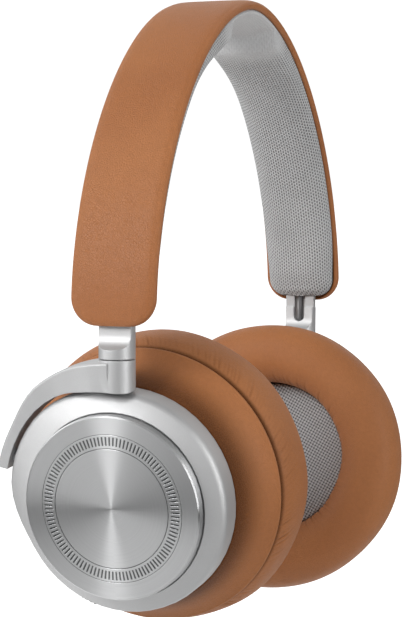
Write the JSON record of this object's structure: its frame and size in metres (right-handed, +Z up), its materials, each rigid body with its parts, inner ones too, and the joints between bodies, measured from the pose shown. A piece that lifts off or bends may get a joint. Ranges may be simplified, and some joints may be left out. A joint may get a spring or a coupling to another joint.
{
  "type": "over-ear headphones",
  "caption": "Wireless over-ear headphones: padded arched headband, curved sliding arms, one-sided yokes, round metal ear cups and soft ring cushions.",
  "frame": {"origin": "middle of the pad's underside at the crown of the headband, where the head carries it", "axes": "+X from the right ear cup to the left ear cup, -Y the way the wearer faces, +Z up"},
  "size_m": [0.1701, 0.0968, 0.2003],
  "materials": {
    "leather": "fine-grained tan leather",
    "knit": "grey knitted textile over foam",
    "satin_metal": "bead blasted, satin",
    "spun_metal": "spun, fine concentric grain",
    "steel": "plain",
    "dark_plastic": "moulded",
    "grey_plastic": "moulded",
    "cloth": "grey woven acoustic cloth",
    "board": "solder mask over glass fibre board",
    "cell_wrap": "shrink wrap",
    "brass": "bare",
    "cable_sheath": "round sheath"
  },
  "bodies": {
    "band": {"headband_cover": "leather", "headband_pad": "knit", "headband_spring": "steel", "slider_guide_right": "dark_plastic", "slider_guide_left": "dark_plastic"},
    "slider_right": {"slider_arm_right": "satin_metal", "signal_lead_right": "cable_sheath", "swivel_pin_right": "steel", "swivel_clip_right": "steel"},
    "yoke_right": {"yoke_arm_right": "satin_metal", "tilt_pin_right": "steel", "tilt_clip_right": "steel"},
    "cup_right": {"outer_shell_right": "satin_metal", "hinge_block_right": "steel", "trim_disc_right": "spun_metal", "cup_housing_right": "dark_plastic", "baffle_plate_right": "dark_plastic", "baffle_screw_1_right": "steel", "baffle_screw_2_right": "steel", "ear_cushion_right": "leather", "cushion_ring_right": "dark_plastic", "speaker_cloth_right": "cloth", "driver_frame_right": "dark_plastic", "driver_magnet_right": "steel", "driver_diaphragm_right": "grey_plastic", "circuit_board_right": "board", "microphone_right": "brass", "usb_socket_right": "steel", "audio_jack_right": "brass"},
    "slider_left": {"slider_arm_left": "satin_metal", "signal_lead_left": "cable_sheath", "swivel_pin_left": "steel", "swivel_clip_left": "steel"},
    "yoke_left": {"yoke_arm_left": "satin_metal", "tilt_pin_left": "steel", "tilt_clip_left": "steel"},
    "cup_left": {"outer_shell_left": "satin_metal", "hinge_block_left": "steel", "trim_disc_left": "spun_metal", "cup_housing_left": "dark_plastic", "baffle_plate_left": "dark_plastic", "baffle_screw_1_left": "steel", "baffle_screw_2_left": "steel", "ear_cushion_left": "leather", "cushion_ring_left": "dark_plastic", "speaker_cloth_left": "cloth", "driver_frame_left": "dark_plastic", "driver_magnet_left": "steel", "driver_diaphragm_left": "grey_plastic", "circuit_board_left": "board", "microphone_left": "brass", "battery_left": "cell_wrap", "noise_contact_left": "brass", "voice_contact_left": "brass"},
    "power_slide": {"power_switch_right": "dark_plastic"},
    "noise_key": {"noise_button_left": "grey_plastic"},
    "voice_key": {"voice_button_left": "grey_plastic"}
  },
  "joints": [
    {"name": "extend_right", "type": "hinge", "parent": "band", "child": "slider_right", "pos_m": [0.03115, 0, -0.0977], "axis": [0, -1, 0], "range_deg": [-1.3, 10.42]},
    {"name": "swivel_right", "type": "hinge", "parent": "slider_right", "child": "yoke_right", "pos_m": [-0.07885, 0, -0.1056], "axis": [0, 0, 1], "range_deg": [-15, 89]},
    {"name": "tilt_right", "type": "hinge", "parent": "yoke_right", "child": "cup_right", "pos_m": [-0.07282, 0.03085, -0.13667], "axis": [-0.0185, 0.9998, 0], "range_deg": [-2, 14]},
    {"name": "extend_left", "type": "hinge", "parent": "band", "child": "slider_left", "pos_m": [-0.03115, 0, -0.0977], "axis": [0, 1, 0], "range_deg": [-3.49, 8.23]},
    {"name": "swivel_left", "type": "hinge", "parent": "slider_left", "child": "yoke_left", "pos_m": [0.07847, 0, -0.10979], "axis": [-0.0382, 0, -0.9993], "range_deg": [-7, 97]},
    {"name": "tilt_left", "type": "hinge", "parent": "yoke_left", "child": "cup_left", "pos_m": [0.06711, 0.02974, -0.14045], "axis": [0.118, -0.993, -0.0045], "range_deg": [-3.35, 12.65]},
    {"name": "power_slide", "type": "slide", "parent": "cup_right", "child": "power_slide", "axis": [0.0638, -0.9195, -0.3879], "range_m": [-0.002, 0.002]},
    {"name": "noise_press", "type": "slide", "parent": "cup_left", "child": "noise_key", "axis": [0.1415, -0.0579, 0.9882], "range_m": [0, 0.0005], "stiffness_N_per_m": 2500},
    {"name": "voice_press", "type": "slide", "parent": "cup_left", "child": "voice_key", "axis": [0.1681, -0.3614, 0.9171], "range_m": [0, 0.0005], "stiffness_N_per_m": 2500}
  ]
}
